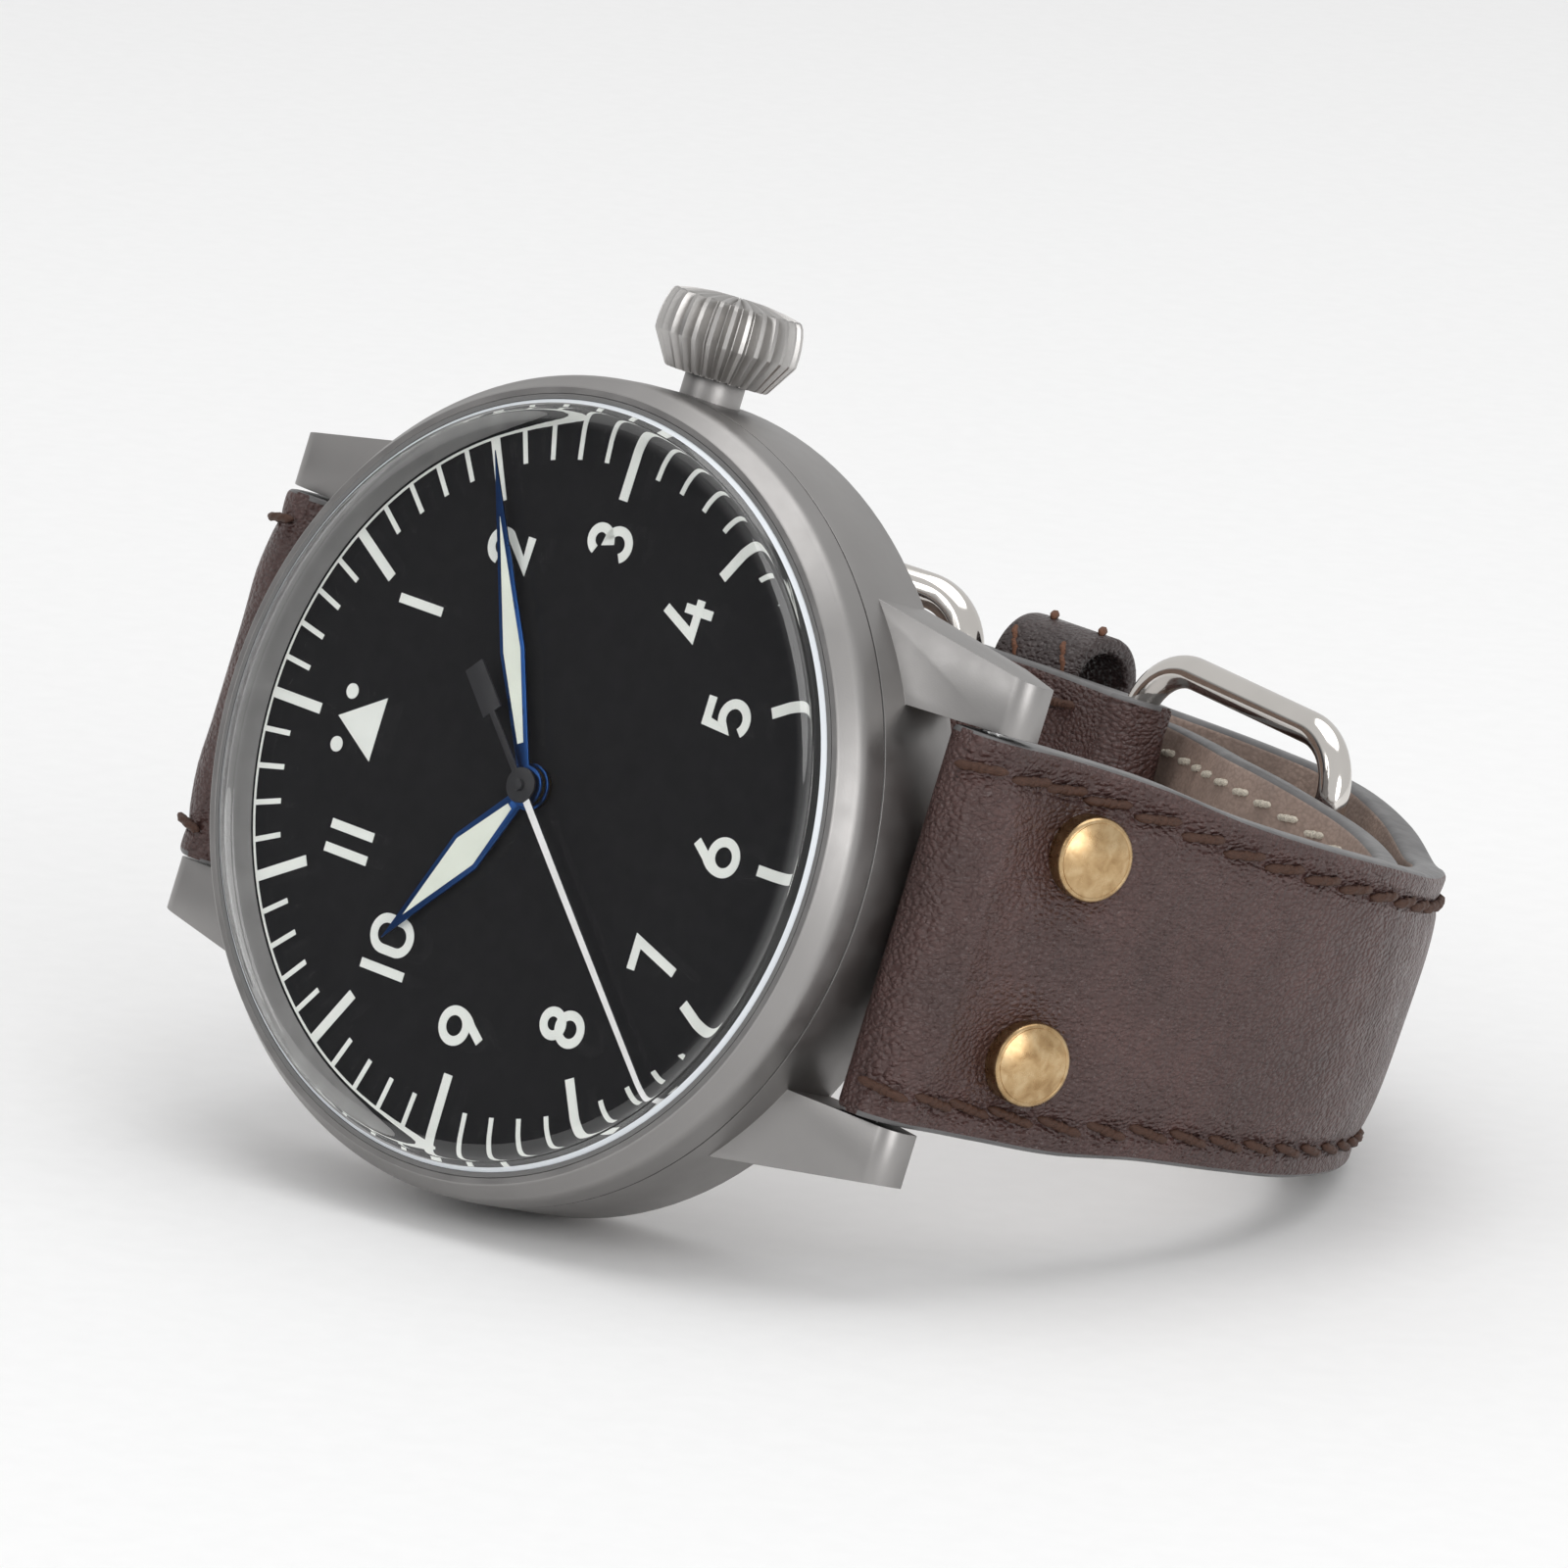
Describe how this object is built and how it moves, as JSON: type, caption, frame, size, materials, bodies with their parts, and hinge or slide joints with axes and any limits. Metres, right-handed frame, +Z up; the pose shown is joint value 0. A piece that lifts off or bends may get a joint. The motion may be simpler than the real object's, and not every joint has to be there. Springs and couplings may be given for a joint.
{
  "type": "pilot wristwatch",
  "caption": "Pilot-style wristwatch with matte steel case, fluted onion crown, black dial and a closed riveted leather strap with slider ring, keeper and buckle.",
  "frame": {"origin": "centre of the bounding box, on the table that the watch rests on", "axes": "+Z up from the table, -Y the side that the dial faces, +Y towards the closed strap's far end, +X the six o'clock side"},
  "size_m": [0.0668, 0.0696, 0.0469],
  "materials": {
    "bead_blasted_steel": "bead blasted, warm grey, matte",
    "polished_steel": "polished",
    "sapphire": "clear, bevelled edge",
    "gasket_rubber": "black",
    "grey_ring": "matte dark grey",
    "dial_black": "matte black with pale green-white printing",
    "ring_plastic": "plain moulded",
    "blued_hand": "blued steel with pale filling",
    "white_hand": "white paint, black hub and tail",
    "movement_plate": "plated, fine grained",
    "gilt_brass": "gilt",
    "brown_leather": "oiled, pebbled",
    "lining_leather": "tan, smooth",
    "polished_nickel": "polished nickel",
    "aged_brass": "aged, mottled"
  },
  "bodies": {
    "case_and_strap": {"mid_case": "bead_blasted_steel", "bezel": "bead_blasted_steel", "crystal": "sapphire", "crystal_gasket": "gasket_rubber", "rehaut": "grey_ring", "dial": "dial_black", "movement_ring": "ring_plastic", "caseback": "bead_blasted_steel", "caseback_gasket": "gasket_rubber", "crown_tube": "polished_steel", "main_plate": "movement_plate", "barrel_bridge": "movement_plate", "train_bridge": "movement_plate", "balance_cock": "movement_plate", "pallet_bridge": "movement_plate", "bridge_screws": "polished_steel", "spring_bar_12": "polished_steel", "spring_bar_6": "polished_steel", "strap_long": "brown_leather", "strap_inner_tongue": "lining_leather", "strap_buckle_side": "brown_leather", "slider_ring": "polished_nickel", "buckle_frame": "polished_nickel", "buckle_pin": "polished_nickel", "rivets_6": "aged_brass", "rivets_12": "aged_brass"},
    "minutes_body": {"minute_hand": "blued_hand", "cannon_pinion": "polished_steel", "centre_wheel": "gilt_brass"},
    "hours_body": {"hour_hand": "blued_hand", "hour_wheel": "gilt_brass"},
    "seconds_body": {"seconds_hand": "white_hand", "fourth_wheel": "gilt_brass"},
    "minute_wheel_body": {"minute_wheel": "gilt_brass"},
    "third_wheel_body": {"third_wheel": "gilt_brass"},
    "barrel_body": {"mainspring_barrel": "gilt_brass"},
    "escape_body": {"escape_wheel": "polished_steel"},
    "balance_body": {"balance_wheel": "gilt_brass"},
    "fork_body": {"pallet_fork": "polished_steel"},
    "winding_body": {"winding_pinion": "polished_steel", "sliding_pinion": "polished_steel"},
    "crown_body": {"crown": "bead_blasted_steel", "winding_stem": "polished_steel", "crown_gasket": "gasket_rubber"},
    "ratchet_body": {"ratchet_wheel": "polished_steel"},
    "crown_wheel_body": {"crown_wheel": "polished_steel"},
    "keeper_body": {"keeper": "brown_leather"}
  },
  "joints": [
    {"name": "minute_turn", "type": "hinge", "parent": "case_and_strap", "child": "minutes_body", "pos_m": [0.00251, -0.02742, 0.02176], "axis": [0, 0.9681, -0.2504], "continuous": true},
    {"name": "hour_turn", "type": "hinge", "parent": "case_and_strap", "child": "hours_body", "pos_m": [0.00251, -0.02742, 0.02176], "axis": [0, 0.9681, -0.2504], "continuous": true},
    {"name": "seconds_turn", "type": "hinge", "parent": "case_and_strap", "child": "seconds_body", "pos_m": [0.00251, -0.02742, 0.02176], "axis": [0, 0.9681, -0.2504], "continuous": true},
    {"name": "minute_wheel_turn", "type": "hinge", "parent": "case_and_strap", "child": "minute_wheel_body", "pos_m": [0.0029, -0.0254, 0.02556], "axis": [0, 0.9681, -0.2504], "continuous": true},
    {"name": "third_wheel_turn", "type": "hinge", "parent": "case_and_strap", "child": "third_wheel_body", "pos_m": [0.00452, -0.02464, 0.01653], "axis": [0, 0.9681, -0.2504], "continuous": true},
    {"name": "barrel_turn", "type": "hinge", "parent": "case_and_strap", "child": "barrel_body", "pos_m": [-0.00251, -0.02266, 0.0242], "axis": [0, 0.9681, -0.2504], "continuous": true},
    {"name": "escape_turn", "type": "hinge", "parent": "case_and_strap", "child": "escape_body", "pos_m": [0.00696, -0.02325, 0.02189], "axis": [0, 0.9681, -0.2504], "continuous": true},
    {"name": "balance_swing", "type": "hinge", "parent": "case_and_strap", "child": "balance_body", "pos_m": [0.01238, -0.0229, 0.02326], "axis": [0, 0.9681, -0.2504], "range_deg": [-150, 150], "stiffness_Nm_per_rad": 0.0000004},
    {"name": "fork_swing", "type": "hinge", "parent": "case_and_strap", "child": "fork_body", "pos_m": [0.00972, -0.02307, 0.02259], "axis": [0, 0.9681, -0.2504], "range_deg": [-6, 6]},
    {"name": "crown_turn", "type": "hinge", "parent": "case_and_strap", "child": "winding_body", "pos_m": [0.00362, -0.02104, 0.03245], "axis": [0.0924, 0.2493, 0.964], "continuous": true},
    {"name": "crown_pull", "type": "slide", "parent": "winding_body", "child": "crown_body", "axis": [0.0924, 0.2493, 0.964], "range_m": [0, 0.0013]},
    {"name": "crown_wheel_turn", "type": "hinge", "parent": "case_and_strap", "child": "crown_wheel_body", "pos_m": [0.00055, -0.01901, 0.03029], "axis": [0, 0.9681, -0.2504], "continuous": true},
    {"name": "ratchet_turn", "type": "hinge", "parent": "case_and_strap", "child": "ratchet_body", "pos_m": [-0.00251, -0.02266, 0.0242], "axis": [0, 0.9681, -0.2504], "continuous": true},
    {"name": "keeper_slide", "type": "slide", "parent": "case_and_strap", "child": "keeper_body", "axis": [0.9957, -0.0231, -0.0894], "range_m": [0, 0.0022]}
  ],
  "couplings": [
    {"joint": "hour_turn", "follows": "minute_turn", "ratio": 0.083333},
    {"joint": "seconds_turn", "follows": "minute_turn", "ratio": 60},
    {"joint": "minute_wheel_turn", "follows": "minute_turn", "ratio": -0.33333},
    {"joint": "third_wheel_turn", "follows": "minute_turn", "ratio": -8},
    {"joint": "barrel_turn", "follows": "minute_turn", "ratio": -0.11111},
    {"joint": "fork_swing", "follows": "balance_swing", "ratio": -0.035},
    {"joint": "crown_wheel_turn", "follows": "crown_turn", "ratio": -0.3871},
    {"joint": "ratchet_turn", "follows": "crown_turn", "ratio": 0.25}
  ]
}
